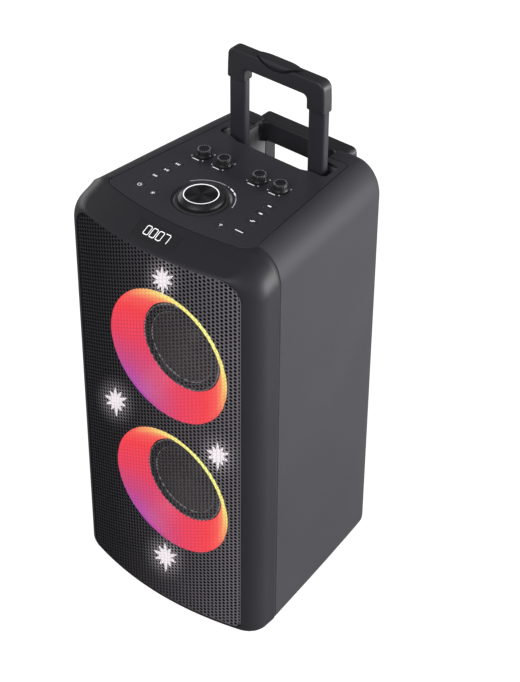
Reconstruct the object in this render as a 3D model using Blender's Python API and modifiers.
"""Party speaker: tall two-driver cabinet on feet and rear wheels, with a trolley
handle, a control panel on top, a bowed grille and light rings round the drivers.
Metres, +Z up, front towards -Y, left is -X. Shapes are laid out with Y = 0 on the
seam between bezel and cabinet and Z = 0 on the cabinet's underside; the root empty
then carries the whole object to the bottom centre of its bounding box."""
import bpy
import bmesh
import math
from mathutils import Vector, Matrix

for old in list(bpy.data.objects):
    bpy.data.objects.remove(old, do_unlink=True)

# ------------------------------------------------------- shared dimensions
HEIGHT = 0.660            # cabinet, without the feet
SEAM_HALF = 0.167         # half width where bezel meets cabinet
BULGE_HALF = 0.1685       # half width at the widest point of the bezel
DEPTH = 0.264             # seam to rear face
FRONT = 0.077             # seam to foremost point of the bezel
SHOULDER_X, SHOULDER_Z = 0.0404, 0.0475   # shoulder rounding, across and down
WALL = 0.004
HANDLE_BACK = 0.277       # rear face of the carry handle
HANDLE_HALF = 0.0815      # half width of the carry handle
FOOT_H = 0.010

RING_Z = {"upper": 0.435, "lower": 0.187}   # driver centres
RING_OUTER, RING_INNER = 0.107, 0.0714
RING_FRONT, RING_BACK = -0.0380, -0.0097

ROD_X, ROD_Y = 0.0695, 0.201
ROD_W, ROD_D = 0.0285, 0.013
ROD_BOTTOM, ROD_TOP = 0.2000, 0.7588

WHEEL_X, WHEEL_Y, WHEEL_Z = 0.095, 0.2455, 0.022
AXLE_R = 0.0040
WELL_INNER, WELL_OUTER = 0.0140, 0.0135   # wheel centre to sides of its well
WELL_WALL = 0.0030
WELL_TOP = 0.0595         # top of the well's walls

AMP_HALF = 0.0680
AMP_Z = (0.1900, 0.4400)

GAP = 0.0003              # clearance between pieces that meet
REAR_GAP = 0.0004         # wider clearance, for openings at the rear
ROUND_GAP = 0.0005        # radial clearance round buttons, strobes and rings
ROD_GAP = 0.00045
ABOVE = 0.6700            # where cutters end above the cabinet

SIDES = (("left", -1), ("right", 1))

col = bpy.data.collections.new("party_speaker")
cutcol = bpy.data.collections.new("party_speaker_cutters")
bpy.context.scene.collection.children.link(col)
bpy.context.scene.collection.children.link(cutcol)

root = bpy.data.objects.new("speaker_root", None)
col.objects.link(root)
root.location = (0.0, -(HANDLE_BACK - FRONT) / 2, FOOT_H)

# --------------------------------------------------------------- materials
# kind: colour, metallic, roughness
FINISHES = {
    "shell_plastic": ((0.045, 0.045, 0.050), 0.0, 0.50),
    "bezel_plastic": ((0.035, 0.035, 0.040), 0.0, 0.42),
    "panel_plastic": ((0.040, 0.040, 0.045), 0.0, 0.38),
    "grille_steel": ((0.020, 0.020, 0.022), 0.8, 0.45),
    "inner_plastic": ((0.012, 0.012, 0.013), 0.0, 0.60),
    "handle_plastic": ((0.022, 0.020, 0.028), 0.0, 0.45),
    "rod_aluminium": ((0.030, 0.028, 0.038), 0.9, 0.40),
    "knob_plastic": ((0.020, 0.020, 0.022), 0.0, 0.40),
    "knob_metal": ((0.060, 0.060, 0.065), 1.0, 0.30),
    "lens": ((0.900, 0.350, 0.300), 0.0, 0.30),
    "dial_lens": ((0.850, 0.850, 0.900), 0.0, 0.30),
    "lamp": ((0.950, 0.950, 0.950), 0.0, 0.20),
    "glass": ((0.005, 0.005, 0.006), 0.0, 0.05),
    "board": ((0.010, 0.060, 0.020), 0.0, 0.50),
    "cone_paper": ((0.015, 0.015, 0.016), 0.0, 0.65),
    "rubber": ((0.012, 0.012, 0.012), 0.0, 0.80),
    "steel": ((0.400, 0.400, 0.420), 1.0, 0.30),
    "driver_steel": ((0.030, 0.030, 0.032), 0.7, 0.50),
    "battery": ((0.020, 0.050, 0.120), 0.0, 0.50),
}
GLOWING = ("lens", "dial_lens", "lamp")
GLOW_STRENGTH = 1.0


def make_material(name, kind):
    colour, metallic, roughness = FINISHES[kind]
    material = bpy.data.materials.new(name)
    material.use_nodes = True
    inputs = material.node_tree.nodes["Principled BSDF"].inputs
    inputs["Base Color"].default_value = (*colour, 1.0)
    inputs["Metallic"].default_value = metallic
    inputs["Roughness"].default_value = roughness
    if kind in GLOWING:
        inputs["Emission Color"].default_value = (*colour, 1.0)
        inputs["Emission Strength"].default_value = GLOW_STRENGTH
    return material


# ----------------------------------------------------------- modelling tools
def finish(name, mesh, kind, location=(0, 0, 0), parent=None):
    """Colour a piece and hang it in the speaker, or with no kind file it as a cutter."""
    piece = bpy.data.objects.new(name, mesh)
    if kind is None:
        cutcol.objects.link(piece)
        piece.hide_render = True
        piece.display_type = "WIRE"
    else:
        col.objects.link(piece)
        mesh.materials.append(make_material(name + "_" + kind, kind))
    piece.parent = parent or root
    piece.location = location
    return piece


def mesh_from(build, name):
    mesh = bpy.data.meshes.new(name)
    build.to_mesh(mesh)
    build.free()
    return mesh


def add_bevel(piece, width, segments=1, angle=40):
    bevel = piece.modifiers.new("Bevel", "BEVEL")
    bevel.width = width
    bevel.segments = segments
    bevel.limit_method = "ANGLE"
    bevel.angle_limit = math.radians(angle)


def boolean(piece, cutters, operation="DIFFERENCE"):
    for cutter in cutters:
        modifier = piece.modifiers.new(operation.title(), "BOOLEAN")
        modifier.operation = operation
        modifier.object = cutter
        modifier.solver = "EXACT"


def span(half, centre=0.0):
    return (centre - half, centre + half)


def widened(limits, margin):
    return (limits[0] - margin, limits[1] + margin)


def box(name, x_span, y_span, z_span, kind=None, bevel=0.0, segments=1, parent=None):
    spans = (x_span, y_span, z_span)
    size = [high - low for low, high in spans]
    centre = [(low + high) / 2 for low, high in spans]
    build = bmesh.new()
    bmesh.ops.create_cube(build, size=1.0, matrix=Matrix.Diagonal((*size, 1.0)))
    piece = finish(name, mesh_from(build, name), kind, centre, parent)
    if bevel:
        add_bevel(piece, bevel, segments)
    return piece


TURN_ROTATION = {
    "Z": (0, 0, 0),
    "Y": (math.radians(-90), 0, 0),
    "X": (0, math.radians(90), 0),
}


def turned(name, profile, centre, axis="Y", steps=32, kind=None, ring=False):
    """Turn (radius, distance along axis) points with Screw; ring closes the profile."""
    pairs = zip(profile, profile[1:] + profile[:1])
    if sum(a[0] * b[1] - b[0] * a[1] for a, b in pairs) > 0:
        profile = profile[::-1]
    count = len(profile)
    edges = [(i, (i + 1) % count) for i in range(count if ring else count - 1)]
    mesh = bpy.data.meshes.new(name)
    mesh.from_pydata([(radius, 0.0, along) for radius, along in profile], edges, [])
    piece = finish(name, mesh, kind, centre)
    piece.rotation_euler = TURN_ROTATION[axis]
    screw = piece.modifiers.new("Screw", "SCREW")
    screw.axis = "Z"
    screw.steps = steps
    screw.render_steps = steps
    screw.use_merge_vertices = True
    screw.merge_threshold = 0.00001
    screw.use_smooth_shade = True
    return piece


def drum(radius, low, high):
    """Profile of a plain solid cylinder."""
    return [(0, low), (radius, low), (radius, high), (0, high)]


PLATE_ROTATION = {
    "Z": (0, 0, 0),
    "Y": (math.radians(90), 0, 0),
    "X": (math.radians(90), 0, math.radians(90)),
}


def plate(name, outline, limits, normal="Z", kind=None, hole=None, offset=(0, 0, 0),
          parent=None):
    """A flat outline, filled as a 2D curve and extruded between limits on its normal.
    Outlines are (x, y) for Z, (x, z) for Y and (y, z) for X."""
    low, high = limits
    curve = bpy.data.curves.new(name, "CURVE")
    curve.dimensions = "2D"
    curve.fill_mode = "BOTH"
    curve.extrude = (high - low) / 2
    for points in [outline] + ([hole] if hole else []):
        spline = curve.splines.new("POLY")
        spline.points.add(len(points) - 1)
        for i, (across, up) in enumerate(points):
            spline.points[i].co = (across, up, 0.0, 1.0)
        spline.use_cyclic_u = True
    source = bpy.data.objects.new(name + "_curve", curve)
    bpy.context.scene.collection.objects.link(source)
    depsgraph = bpy.context.evaluated_depsgraph_get()
    mesh = bpy.data.meshes.new_from_object(source.evaluated_get(depsgraph))
    bpy.data.objects.remove(source, do_unlink=True)
    build = bmesh.new()
    build.from_mesh(mesh)
    bmesh.ops.remove_doubles(build, verts=build.verts[:], dist=0.00001)
    bmesh.ops.recalc_face_normals(build, faces=build.faces[:])
    bmesh.ops.dissolve_limit(build, angle_limit=math.radians(0.5),
                             verts=build.verts[:], edges=build.edges[:])
    build.to_mesh(mesh)
    build.free()
    mesh.name = name
    location = list(offset)
    location["XYZ".index(normal)] += (low + high) / 2
    piece = finish(name, mesh, kind, location, parent)
    piece.rotation_euler = PLATE_ROTATION[normal]
    return piece


def loft(name, sections, kind=None, ring=False):
    """Skin between unlike sections that share a point count; ring joins last to first."""
    build = bmesh.new()
    rows = [[build.verts.new(point) for point in section] for section in sections]
    for near, far in zip(rows, rows[1:] + (rows[:1] if ring else [])):
        for j in range(len(near)):
            k = (j + 1) % len(near)
            build.faces.new((near[j], near[k], far[k], far[j]))
    if not ring:
        build.faces.new(rows[0][::-1])
        build.faces.new(rows[-1])
    bmesh.ops.recalc_face_normals(build, faces=build.faces[:])
    mesh = mesh_from(build, name)
    mesh.shade_smooth()
    mesh.set_sharp_from_angle(angle=math.radians(35))
    return finish(name, mesh, kind)


# ------------------------------------------------------------ outline tools
def arc(centre_x, centre_y, radius_x, radius_y, start, end, steps):
    """Points of an elliptic arc; angles in degrees."""
    angles = [math.radians(start + (end - start) * i / steps) for i in range(steps + 1)]
    return [(centre_x + radius_x * math.cos(angle), centre_y + radius_y * math.sin(angle))
            for angle in angles]


def arch(half, bottom, top, shoulder_x, shoulder_z, corner,
         shoulder_steps=7, corner_steps=2, flat_points=5):
    """Front outline in X, Z: wide shoulders at the top, tight corners at the bottom."""
    top_x, top_z = half - shoulder_x, top - shoulder_z
    low_x, low_z = half - corner, bottom + corner
    shares = [i / (flat_points + 1) for i in range(1, flat_points + 1)]
    return (arc(top_x, top_z, shoulder_x, shoulder_z, 0, 90, shoulder_steps)
            + [(top_x - 2 * top_x * share, top) for share in shares]
            + arc(-top_x, top_z, shoulder_x, shoulder_z, 90, 180, shoulder_steps)
            + arc(-low_x, low_z, corner, corner, 180, 270, corner_steps)
            + [(-low_x + 2 * low_x * share, bottom) for share in shares]
            + arc(low_x, low_z, corner, corner, 270, 360, corner_steps))


def rounded(x_span, y_span, radius, steps):
    left, right = widened(x_span, -radius)
    front, back = widened(y_span, -radius)
    corners = ((right, back), (left, back), (left, front), (right, front))
    return [point for i, (x, y) in enumerate(corners)
            for point in arc(x, y, radius, radius, 90 * i, 90 * i + 90, steps)]


def mirrored(points):
    """Points followed by their mirror image across X = 0, in reverse order."""
    return points + [(-x, y) for x, y in points[::-1]]


def grown(outline, distance):
    """Anticlockwise outline moved outwards along its own normals."""
    result = []
    for i, (x, y) in enumerate(outline):
        after = outline[(i + 1) % len(outline)]
        arriving = Vector((x - outline[i - 1][0], y - outline[i - 1][1])).normalized()
        leaving = Vector((after[0] - x, after[1] - y)).normalized()
        normals = Vector((arriving.y, -arriving.x)), Vector((leaving.y, -leaving.x))
        mitre = (normals[0] + normals[1]) / (1.0 + normals[0].dot(normals[1]))
        result.append((x + mitre.x * distance, y + mitre.y * distance))
    return result


# ------------------------------------------------------------- front bezel
BOW_DEPTH = 0.035         # depth over which the bow of the front fades in
EDGE_R = 0.024            # rounding of the bezel's side edges in plan


def bow(x, y):
    """The front is bowed: its sides sit further back than its middle."""
    return y + min(1.0, -y / BOW_DEPTH) * x * x


def edge_half_width(y):
    edge_y = EDGE_R - FRONT
    if y > edge_y:
        return SEAM_HALF + (BULGE_HALF - SEAM_HALF) * min(1.0, -y / EDGE_R)
    return BULGE_HALF - EDGE_R + math.sqrt(EDGE_R * EDGE_R - (y - edge_y) ** 2)


def arch_section(y, half, top, bottom, shoulder_x, shoulder_z, corner):
    outline = arch(half, bottom, top, shoulder_x, shoulder_z, corner)
    return [(x, y, z) for x, z in outline]


SEAM_Y = 0.0004           # each shell stops this far from the seam
SEAM_EASE = 0.0009        # how far the outline draws in at the seam
SEAM_EDGE = (SEAM_HALF - SEAM_EASE, HEIGHT - SEAM_EASE, SEAM_EASE, 0.0400, 0.0470, 0.0060)
# outside, seam to lip: y, top, bottom, shoulder across and down, bottom corner
BEZEL_OUTSIDE = (
    (-0.0012, HEIGHT, 0.0000, SHOULDER_X, SHOULDER_Z, 0.0060),
    (-0.0120, HEIGHT, 0.0000, SHOULDER_X, SHOULDER_Z, 0.0060),
    (-0.0240, HEIGHT, 0.0000, 0.0400, 0.0470, 0.0060),
    (-0.0300, 0.6588, 0.0000, 0.0398, 0.0460, 0.0060),
    (-0.0380, 0.6557, 0.0000, 0.0392, 0.0440, 0.0060),
    (-0.0460, 0.6521, 0.0000, 0.0385, 0.0420, 0.0060),
    (-0.0530, 0.6488, 0.0000, 0.0378, 0.0400, 0.0060),
    (-0.0600, 0.6455, 0.0002, 0.0370, 0.0385, 0.0065),
    (-0.0660, 0.6427, 0.0006, 0.0365, 0.0370, 0.0070),
    (-0.0710, 0.6404, 0.0014, 0.0355, 0.0358, 0.0080),
    (-0.0745, 0.6387, 0.0030, 0.0345, 0.0348, 0.0095),
    (-0.0765, 0.6372, 0.0052, 0.0330, 0.0332, 0.0110),
)
# over the lip and back inside: as above, with the half width after y
BEZEL_INSIDE = (
    (-FRONT, 0.1475, 0.6362, 0.0064, 0.0320, 0.0322, 0.0115),
    (-0.0768, 0.1464, 0.6353, 0.0074, 0.0312, 0.0314, 0.0118),
    (-0.0700, 0.1460, 0.6348, 0.0078, 0.0308, 0.0310, 0.0118),
    (-0.0690, 0.1480, 0.6372, 0.0050, 0.0320, 0.0330, 0.0100),
    (-0.0600, 0.1575, 0.6405, 0.0042, 0.0350, 0.0370, 0.0050),
    (-0.0460, 0.1632, 0.6470, 0.0040, 0.0370, 0.0400, 0.0045),
    (-0.0300, 0.1640, 0.6540, 0.0040, 0.0380, 0.0440, 0.0040),
    (-SEAM_Y, 0.1628, 0.6556, 0.0040, 0.0380, 0.0440, 0.0040),
)
stations = [(-SEAM_Y, *SEAM_EDGE)]
stations += [(y, edge_half_width(y), *rest) for y, *rest in BEZEL_OUTSIDE]
stations += BEZEL_INSIDE
sections = [[(x, bow(x, y), z) for x, y, z in arch_section(*station)] for station in stations]
front_bezel = loft("front_bezel", sections, "bezel_plastic", ring=True)

# plan of the top panel's right side, front to back: x, y
PANEL_SIDE = [
    (0.1195, -0.0105), (0.1240, -0.0050), (0.1262, 0.0020), (0.1180, 0.0750),
    (0.1095, 0.1500), (0.1012, 0.2235), (0.0995, 0.2280), (0.0950, 0.2303)]
PANEL_FRONT_X = [-0.1130 + 0.2260 * i / 12 for i in range(13)]
PANEL_OUTLINE = [(x, -0.0292 + 1.05 * x * x) for x in PANEL_FRONT_X] + mirrored(PANEL_SIDE)
panel_cut = plate("cut_panel", grown(PANEL_OUTLINE, GAP), (0.6500, ABOVE))

WINDOW_HALF = 0.0360
WINDOW_Y = (-0.0660, -0.0420)
BROW_Y, BROW_Z = -0.0530, 0.6488   # a point on the sloping strip above the grille
BROW_SLOPE = 0.0033 / 0.0070


def brow_strip(name, half, y_span, up, down, kind=None):
    """A strip lying on the sloping, bowed strip of bezel above the grille."""
    front, back = y_span
    front_z, back_z = [BROW_Z + (y - BROW_Y) * BROW_SLOPE for y in y_span]
    return loft(name, [[(x, bow(x, front), front_z - down), (x, bow(x, back), back_z - down),
                        (x, bow(x, back), back_z + up), (x, bow(x, front), front_z + up)]
                       for x in (-half + 2 * half * i / 8 for i in range(9))], kind)


window_cut = brow_strip("cut_window", WINDOW_HALF + GAP, widened(WINDOW_Y, GAP),
                        up=0.0040, down=0.0016)
boolean(front_bezel, [panel_cut, window_cut])
brow_strip("display_window", WINDOW_HALF, WINDOW_Y, up=0.0, down=0.0013, kind="glass")

# ------------------------------------------------------------------ grille
# a bowed sheet, trimmed to the rounded opening
GRILLE_FRONT, GRILLE_BACK = -0.0757, -0.0745
sheet_x = [-0.150 + 0.300 * i / 30 for i in range(31)]
sheet = [(x, GRILLE_FRONT + x * x) for x in sheet_x]
sheet += [(x, GRILLE_BACK + x * x) for x in sheet_x[::-1]]
front_grille = plate("front_grille", sheet, (-0.0100, 0.6600), "Z", "grille_steel")
grille_edge = arch(0.1454, 0.0084, 0.6343, 0.0305, 0.0307, 0.0115, 7, 3, 0)
boolean(front_grille, [plate("trim_grille", grille_edge, (-0.1000, -0.0300), "Y")],
        "INTERSECT")

# ---------------------------------------------------------------- cabinet
# outside, seam to rear: y, half width, inset of top and bottom
CABINET_OUTSIDE = (
    (0.0012, SEAM_HALF, 0.0), (0.0500, 0.1621, 0.0), (0.1000, 0.1570, 0.0),
    (0.1500, 0.1515, 0.0), (0.2000, 0.1456, 0.0), (0.2350, 0.1412, 0.0),
    (0.2500, 0.1390, 0.0), (0.2550, 0.1375, 0.0010), (0.2600, 0.1345, 0.0032),
    (DEPTH - 0.0012, 0.1310, 0.0062), (DEPTH, 0.1265, 0.0105))
# round the rim of the rear opening: columns as for BEZEL_INSIDE
CABINET_RIM = (
    (DEPTH, 0.1200, 0.6440, 0.0160, 0.0330, 0.0370, 0.0080),
    (0.2576, 0.1200, 0.6440, 0.0160, 0.0330, 0.0370, 0.0080),
    (0.2560, 0.1300, 0.6550, 0.0052, 0.0350, 0.0400, 0.0060))
# inside, rear to seam: y, half width
CABINET_INSIDE = ((0.2450, 0.1355), (0.2000, 0.1416), (0.1500, 0.1475),
                  (0.1000, 0.1530), (0.0500, 0.1581), (SEAM_Y, 0.1628))
stations = [(SEAM_Y, *SEAM_EDGE)]
for y, half, inset in CABINET_OUTSIDE:
    stations.append((y, half, HEIGHT - inset, inset, SHOULDER_X - inset * 0.4,
                     SHOULDER_Z - inset * 0.6, 0.0060 + inset * 0.3))
stations += CABINET_RIM
stations += [(y, half, HEIGHT - WALL, WALL, 0.0370, 0.0430, 0.0040)
             for y, half in CABINET_INSIDE]
cabinet_shell = loft("cabinet_shell", [arch_section(*station) for station in stations],
                     "shell_plastic", ring=True)


def well_span(side, margin):
    """X limits of a wheel well, widened by margin."""
    return sorted((side * (WHEEL_X - WELL_INNER - margin),
                   side * (WHEEL_X + WELL_OUTER + margin)))


WELL_FRONT = 0.2140
boolean(cabinet_shell, [
    box("add_well_" + name, well_span(side, WELL_WALL),
        (WELL_FRONT - WELL_WALL, 0.2565), (0.0022, WELL_TOP))
    for name, side in SIDES], "UNION")
boolean(cabinet_shell, [
    box("cut_well_" + name, well_span(side, 0.0), (WELL_FRONT, 0.3000), (-0.0200, 0.0560))
    for name, side in SIDES])
HANDLE_SLOT = span(HANDLE_HALF + REAR_GAP)
boolean(cabinet_shell, [
    panel_cut,
    box("cut_hand_gap", span(0.0670), (0.2250, 0.2900), (0.6450, ABOVE)),
    box("cut_handle_seat", HANDLE_SLOT, (0.2557, 0.2900), (0.6300, ABOVE)),
    turned("cut_axle", drum(AXLE_R + GAP, -0.1130, 0.1130), (0, WHEEL_Y, WHEEL_Z), "X", 24)])

# -------------------------------------------------------------- rear panel
REAR_CUT_Y = (0.2400, 0.2800)
rear_edge = arch(0.1197, 0.0163, 0.6437, 0.0330, 0.0370, 0.0080, 7, 2, 0)
rear_panel = plate("rear_panel", rear_edge, (0.2580, 0.2632), "Y", "shell_plastic")
add_bevel(rear_panel, 0.0006, angle=50)
boolean(rear_panel, [
    box("cut_rear_handle", HANDLE_SLOT, REAR_CUT_Y, (0.5452, 0.7000)),
    box("cut_rear_amp", span(AMP_HALF + REAR_GAP), REAR_CUT_Y, widened(AMP_Z, REAR_GAP))])
boolean(rear_panel, [
    box("cut_rear_wheel_" + letter, well_span(side, WELL_WALL + REAR_GAP), REAR_CUT_Y,
        (-0.0200, WELL_TOP + REAR_GAP))
    for letter, side in (("r", 1), ("l", -1))])

# --------------------------------------------------------------- top panel
PANEL_T = 0.004
VOLUME_Y, VOLUME_R = 0.037, 0.0322
KNOB_Y, KNOB_R, KNOB_H = 0.122, 0.0115, 0.0115
BUTTON_R = 0.0085
# name, x
KNOBS = (("mic_volume_knob", -0.0677), ("guitar_volume_knob", -0.0313),
         ("bass_knob", 0.0313), ("treble_knob", 0.0677))
# name, x, y
BUTTONS = (
    ("power_button", -0.0877, 0.0110), ("light_button", -0.0600, 0.0068),
    ("previous_button", -0.0862, 0.0405), ("play_button", -0.0834, 0.0610),
    ("next_button", -0.0814, 0.0820), ("pairing_button", 0.0600, 0.0068),
    ("mode_button", 0.0877, 0.0110), ("bass_boost_button", 0.0862, 0.0405),
    ("mic_priority_button", 0.0834, 0.0610), ("repeat_button", 0.0814, 0.0820))
# profiles from the panel's upper face: radius, height
BUTTON_PROFILE = [
    (0, -0.0034), (BUTTON_R, -0.0034), (BUTTON_R, -0.0007), (BUTTON_R - 0.0005, -0.0002),
    (0.0060, -0.0004), (0, -0.0007)]
KNOB_PROFILE = [
    (0, -0.0130), (0.0029, -0.0130), (0.0029, 0.0004), (KNOB_R - 0.0007, 0.0004),
    (KNOB_R, 0.0010), (0.0113, 0.0034), (0.0101, 0.0100), (0.0093, KNOB_H - 0.0001),
    (0.0080, KNOB_H), (0, 0.0112)]
VOLUME_PROFILE = [
    (0, -0.0130), (0.0038, -0.0130), (0.0038, -0.0020), (VOLUME_R - 0.0010, -0.0020),
    (VOLUME_R, -0.0010), (0.0320, 0.0015), (0.0290, 0.0075), (0.0268, 0.0093),
    (0.0250, 0.0095), (0.0236, 0.0092), (0, 0.0088)]
LIGHT_PROFILE = [(0.0328, -0.0023), (0.0374, -0.0023), (0.0374, -0.0016), (0.0328, -0.0012)]
# dish round the volume knob, with its shaft hole
DISH_PROFILE = [
    (0, 0.02), (0.0420, 0.02), (0.0415, 0.0005), (0.0405, -0.0006), (0.0380, -0.0026),
    (0.0043, -0.0026), (0.0043, -0.02), (0, -0.02)]
# right side of the handle pocket in plan, front to back: x, y
POCKET_SIDE = [
    (0.0500, 0.1800), (0.0530, 0.1846), (0.0880, 0.1849), (0.0925, 0.1867), (0.0945, 0.1910),
    (0.0945, 0.2130), (0.0925, 0.2170), (0.0880, 0.2187), (0.0670, 0.2190)]


def pocket(rear):
    """Plan of the handle pocket: a wide slot for the grip, narrower behind it."""
    return mirrored(POCKET_SIDE + [(0.0670, rear)])


top_panel = plate("top_panel", PANEL_OUTLINE, (HEIGHT - PANEL_T, HEIGHT), "Z", "panel_plastic")
add_bevel(top_panel, 0.0005, angle=60)
boolean(top_panel, [plate("cut_tee", pocket(0.2600), (0.6400, ABOVE))])
button_hole = drum(BUTTON_R + ROUND_GAP, -0.02, 0.02)
boolean(top_panel, [turned("cut_" + name, button_hole, (x, y, HEIGHT), "Z", 16)
                    for name, x, y in BUTTONS])
shaft_hole = drum(0.0033, -0.02, 0.02)
boolean(top_panel, [turned("cut_" + name, shaft_hole, (x, KNOB_Y, HEIGHT), "Z", 12)
                    for name, x in KNOBS])
dial_centre = (0, VOLUME_Y, HEIGHT)
boolean(top_panel, [turned("cut_dish", DISH_PROFILE, dial_centre, "Z", 32)])

for name, x, y in BUTTONS:
    turned(name, BUTTON_PROFILE, (x, y, HEIGHT), "Z", 16, "knob_plastic")
for name, x in KNOBS:
    turned(name, KNOB_PROFILE, (x, KNOB_Y, HEIGHT), "Z", 20, "knob_plastic")
turned("volume_knob", VOLUME_PROFILE, dial_centre, "Z", 32, "knob_metal")
turned("volume_light_ring", LIGHT_PROFILE, dial_centre, "Z", 32, "dial_lens", ring=True)
box("control_board", span(0.0980), (-0.0100, 0.1500), (0.6435, 0.6451), "board", 0.0004)

# -------------------------------------------------------------- handle tub
rod_slot_x = [span(ROD_W / 2 + ROD_GAP, side * ROD_X) for _, side in SIDES]
rod_slot_y = span(ROD_D / 2 + ROD_GAP, ROD_Y)
TUB_WALL = 0.0025
handle_tub = plate("handle_tub", grown(pocket(0.2530), TUB_WALL), (0.5565, 0.6545), "Z",
                   "inner_plastic")
boolean(handle_tub, [box("cut_tub_rod%d" % i, slot_x, rod_slot_y, (0.5400, 0.5900))
                     for i, slot_x in enumerate(rod_slot_x)])
boolean(handle_tub, [plate("cut_tub", pocket(0.2700), (0.5595, 0.6800))])

# ------------------------------------------------------------ carry handle
# bar across the top of the handle: y, z
CARRY_BAR = [
    (0.2515, 0.6530), (0.2531, 0.6569), (0.2570, 0.6585), (0.2735, 0.6585), (0.2760, 0.6570),
    (0.2768, 0.6540), (0.2768, 0.6300), (0.2755, 0.6262), (0.2720, 0.6233), (0.2680, 0.6225),
    (0.2600, 0.6225), (0.2555, 0.6238), (0.2528, 0.6265), (0.2515, 0.6310)]
carry_handle = box("carry_handle", span(HANDLE_HALF), (0.2560, HANDLE_BACK),
                   (0.5460, 0.6585), "handle_plastic", 0.0025, 2)
boolean(carry_handle, [box("cut_carry_window", span(0.0662), (0.2400, 0.3000),
                           (0.5600, 0.6350), bevel=0.0080, segments=2)])
boolean(carry_handle, [plate("add_carry_bar", CARRY_BAR, span(0.0667), "X")], "UNION")

# ----------------------------------------------------------------- trolley
trolley = bpy.data.objects.new("trolley_axis", None)
col.objects.link(trolley)
trolley.parent = root
trolley.location = (0, ROD_Y, 0)

GRIP_TOP = 0.797
GRIP_CORNER = 0.0110
GRIP_BUTTON = (0.0366, 0.0072)   # half sizes across X and Y
# underside of the grip, left end to middle: x, z
GRIP_UNDERSIDE = [(-0.0850, 0.7490), (-0.0540, 0.7490), (-0.0540, 0.7600),
                  (-0.0520, 0.7655), (-0.0480, 0.7688), (-0.0425, 0.7700)]
grip_right = [(0.0846, 0.7690)]
grip_right += arc(0.0720, GRIP_TOP - GRIP_CORNER, GRIP_CORNER, GRIP_CORNER, 0, 90, 4)
trolley_grip = plate("trolley_grip", mirrored(grip_right) + mirrored(GRIP_UNDERSIDE),
                     span(0.0095), "Y", "handle_plastic", parent=trolley)
add_bevel(trolley_grip, 0.0022, 2, 50)
boolean(trolley_grip, [
    box("cut_grip_" + name, span(ROD_W / 2 + GAP, side * ROD_X), span(ROD_D / 2 + GAP),
        (0.7300, ROD_TOP + 0.0005), parent=trolley)
    for name, side in SIDES])


def oval(name, margin, low, high, kind=None, location=(0, 0, 0)):
    """Upright oval the size of the grip button, widened by margin."""
    half_x, half_y = [half + margin for half in GRIP_BUTTON]
    scale = Matrix.Diagonal((half_x, half_y, high - low, 1.0))
    build = bmesh.new()
    bmesh.ops.create_cone(build, cap_ends=True, segments=24, radius1=1.0, radius2=1.0,
                          depth=1.0,
                          matrix=Matrix.Translation((0, 0, (low + high) / 2)) @ scale)
    return finish(name, mesh_from(build, name), kind, location, trolley)


boolean(trolley_grip, [oval("cut_grip_button", GAP, 0.7880, 0.8100)])
grip_button = oval("grip_button", 0.0, -0.0045, 0.0026, "handle_plastic", (0, 0, GRIP_TOP))
add_bevel(grip_button, 0.0016, 2, 50)

TUBE_WALL = 0.0025
rod_outline = rounded(span(ROD_W / 2), span(ROD_D / 2), 0.0025, 2)
for (name, side), slot_x in zip(SIDES, rod_slot_x):
    rod = plate("rod_" + name, rod_outline, (ROD_BOTTOM, ROD_TOP), "Z", "rod_aluminium",
                offset=(side * ROD_X, 0, 0), parent=trolley)
    add_bevel(rod, 0.0004, angle=60)
    tube = rounded(widened(slot_x, TUBE_WALL), widened(rod_slot_y, TUBE_WALL), 0.0020, 1)
    plate("guide_tube_" + name, tube, (0.0600, 0.5560), "Z", "steel",
          hole=rounded(slot_x, rod_slot_y, 0.0010, 1))

# ---------------------------------------------------------------- acoustics
STROBE_R = 0.0125
# name, x, z
STROBES = (("strobe_top", 0.0, 0.571), ("strobe_left", -0.0972, 0.311),
           ("strobe_right", 0.0972, 0.311), ("strobe_bottom", 0.0, 0.051))
# profiles about the Y axis: radius, y
STROBE_PROFILE = [
    (0, -0.0440), (0.0060, -0.0430), (0.0100, -0.0405), (STROBE_R, -0.0370),
    (STROBE_R, -0.0290), (0, -0.0290)]
RING_PROFILE = [
    (RING_OUTER, RING_FRONT - 0.0005), (0.0990, -0.0376), (0.0940, -0.0311),
    (0.0850, -0.0230), (0.0770, -0.0155), (RING_INNER, RING_BACK), (RING_INNER, -0.0062),
    (0.0735, -0.0062), (0.0860, -0.0182), (0.1040, -0.0315), (RING_OUTER, -0.0325)]
BASKET_PROFILE = [
    (0, 0.0680), (0.0440, 0.0680), (0.0460, 0.0660), (0.0460, 0.0490), (0.0560, 0.0470),
    (0.0720, 0.0170), (0.0770, 0.0020), (0.0835, -0.0005), (0.0835, -0.0055),
    (0.0702, -0.0055), (0.0702, -0.0005), (0.0680, 0.0160), (0.0500, 0.0440), (0, 0.0440)]
SURROUND_PROFILE = [
    (0.0697, -0.0050), (0.0697, -0.0066), (0.0672, -0.0106), (0.0628, -0.0124),
    (0.0584, -0.0106), (0.0558, -0.0066), (0.0558, -0.0050), (0.0594, -0.0092),
    (0.0628, -0.0108), (0.0662, -0.0092)]
CONE_PROFILE = [
    (0, 0.0105), (0.0100, 0.0118), (0.0180, 0.0155), (0.0205, 0.0190), (0.0400, 0.0045),
    (0.0535, -0.0062), (0.0553, -0.0066), (0.0553, -0.0052), (0.0420, 0.0050),
    (0.0225, 0.0215), (0.0190, 0.0260), (0.0190, 0.0330), (0.0172, 0.0330),
    (0.0172, 0.0180), (0, 0.0122)]

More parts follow.
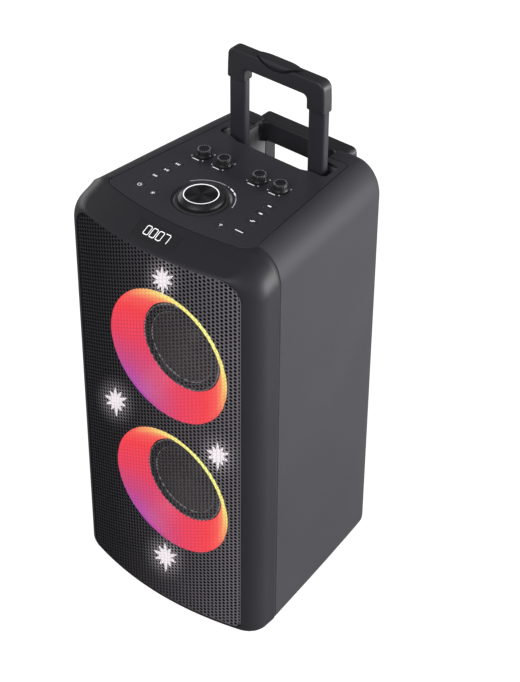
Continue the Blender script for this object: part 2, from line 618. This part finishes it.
baffle_edge = arch(0.1465, 0.0100, 0.6320, 0.0310, 0.0320, 0.0120, 6, 2, 0)
baffle_board = plate("baffle_board", baffle_edge, (RING_FRONT, -0.0280), "Y",
                     "inner_plastic")
ring_hole = drum(RING_OUTER + ROUND_GAP, -0.06, 0.0)
boolean(baffle_board, [turned("cut_ring%d" % i, ring_hole, (0, 0, z), "Y", 40)
                       for i, z in enumerate(RING_Z.values())])
strobe_hole = drum(STROBE_R + ROUND_GAP, -0.06, 0.0)
boolean(baffle_board, [turned("cut_" + name, strobe_hole, (x, 0, z), "Y", 16)
                       for name, x, z in STROBES])
for name, x, z in STROBES:
    turned(name, STROBE_PROFILE, (x, 0, z), "Y", 16, "lamp")
for name, z in RING_Z.items():
    centre = (0, 0, z)
    turned("led_ring_" + name, RING_PROFILE, centre, "Y", 40, "lens", ring=True)
    turned("woofer_basket_" + name, BASKET_PROFILE, centre, "Y", 32, "driver_steel")
    turned("woofer_surround_" + name, SURROUND_PROFILE, centre, "Y", 32, "rubber", ring=True)
    turned("woofer_cone_" + name, CONE_PROFILE, centre, "Y", 28, "cone_paper")

# ---------------------------------------------------- electronics and rear
JACKS = (("mic_jack", -0.0300), ("guitar_jack", 0.0300))   # name, x
JACK_Z, JACK_R = 0.4100, 0.0088
# about the Y axis: radius, y
JACK_PROFILE = [
    (0, 0.2610), (0.0034, 0.2610), (0.0034, 0.2688), (0.0060, 0.2688), (0.0082, 0.2680),
    (JACK_R, 0.2670), (JACK_R, 0.2510), (0, 0.2510)]
SOCKET_X, SOCKET_Z = (0.0184, 0.0516), (0.2054, 0.2296)
SWITCH_X, SWITCH_Y, SWITCH_Z = -0.0350, 0.2610, 0.2175
SWITCH_HALF = 0.0114
SWITCH_TILT = math.radians(-8.0)   # the rocker rests switched off
# rocker before tilting, from its pivot: y, z
ROCKER = ((0.0048, -0.0096), (0.0062, -0.0092), (0.0044, 0.0), (0.0062, 0.0092),
          (0.0048, 0.0096), (-0.0030, 0.0062), (-0.0042, 0.0), (-0.0030, -0.0062))
AMP_RIM = 0.0080          # how far the rear plate overlaps the panel

amp_module = box("amp_module", span(AMP_HALF), (0.2170, 0.2642), AMP_Z, "panel_plastic")
boolean(amp_module, [box("add_amp_plate", span(AMP_HALF + AMP_RIM), (0.2636, 0.2662),
                         widened(AMP_Z, AMP_RIM), bevel=0.0008)], "UNION")
boolean(amp_module, [
    box("cut_amp_socket", widened(SOCKET_X, REAR_GAP), (0.2540, 0.2800),
        widened(SOCKET_Z, REAR_GAP)),
    box("cut_amp_switch", span(SWITCH_HALF + REAR_GAP, SWITCH_X), (0.2520, 0.2800),
        span(0.0108, SWITCH_Z))])
jack_hole = drum(JACK_R + GAP, 0.2500, 0.2800)
boolean(amp_module, [turned("cut_" + name, jack_hole, (x, 0, JACK_Z), "Y", 20)
                     for name, x in JACKS])
for name, x in JACKS:
    turned(name, JACK_PROFILE, (x, 0, JACK_Z), "Y", 20, "driver_steel")
power_socket = box("power_socket", SOCKET_X, (0.2545, 0.2670), SOCKET_Z,
                   "inner_plastic", 0.0008)
boolean(power_socket, [box("cut_socket", (0.0240, 0.0460), (0.2580, 0.2800),
                           (0.2100, 0.2250), bevel=0.0020)])
cosine, sine = math.cos(SWITCH_TILT), math.sin(SWITCH_TILT)
plate("power_switch", [(y * cosine - z * sine, y * sine + z * cosine) for y, z in ROCKER],
      span(SWITCH_HALF), "X", "knob_plastic", offset=(SWITCH_X, SWITCH_Y, SWITCH_Z))
box("battery_pack", span(0.0700), (0.1150, 0.1750), (0.0050, 0.1100), "battery", 0.0030)

# ------------------------------------------------------------ wheels, feet
WHEEL_R, WHEEL_HALF = 0.030, 0.010
AXLE_HALF = 0.1112
BORE_R = AXLE_R + 0.00006
# inner side of the wheel, bore to tread: radius, x
WHEEL_SIDE = [
    (BORE_R, -WHEEL_HALF - 0.0015), (0.0080, -WHEEL_HALF - 0.0015),
    (0.0100, -WHEEL_HALF + 0.0030), (0.0200, -WHEEL_HALF + 0.0030),
    (0.0225, -WHEEL_HALF), (0.0280, -WHEEL_HALF), (WHEEL_R, -WHEEL_HALF + 0.0022)]
wheel_profile = WHEEL_SIDE + [(radius, -x) for radius, x in WHEEL_SIDE[::-1]]
turned("wheel_axle", drum(AXLE_R, -AXLE_HALF, AXLE_HALF), (0, WHEEL_Y, WHEEL_Z),
       "X", 24, "steel")
for name, side in SIDES:
    turned("wheel_" + name, wheel_profile, (side * WHEEL_X, WHEEL_Y, WHEEL_Z),
           "X", 24, "rubber", ring=True)

FOOT_R = 0.015
FOOT_PROFILE = [(0, -GAP), (FOOT_R, -GAP), (FOOT_R, -0.0040), (FOOT_R - 0.0020, -FOOT_H),
                (0, -FOOT_H)]
for end, x, y in (("front", 0.1250, 0.0200), ("rear", 0.1120, 0.1850)):
    for name, side in SIDES:
        turned("foot_%s_%s" % (end, name), FOOT_PROFILE, (side * x, y, 0), "Z", 20, "rubber")
bpy.context.view_layer.update()
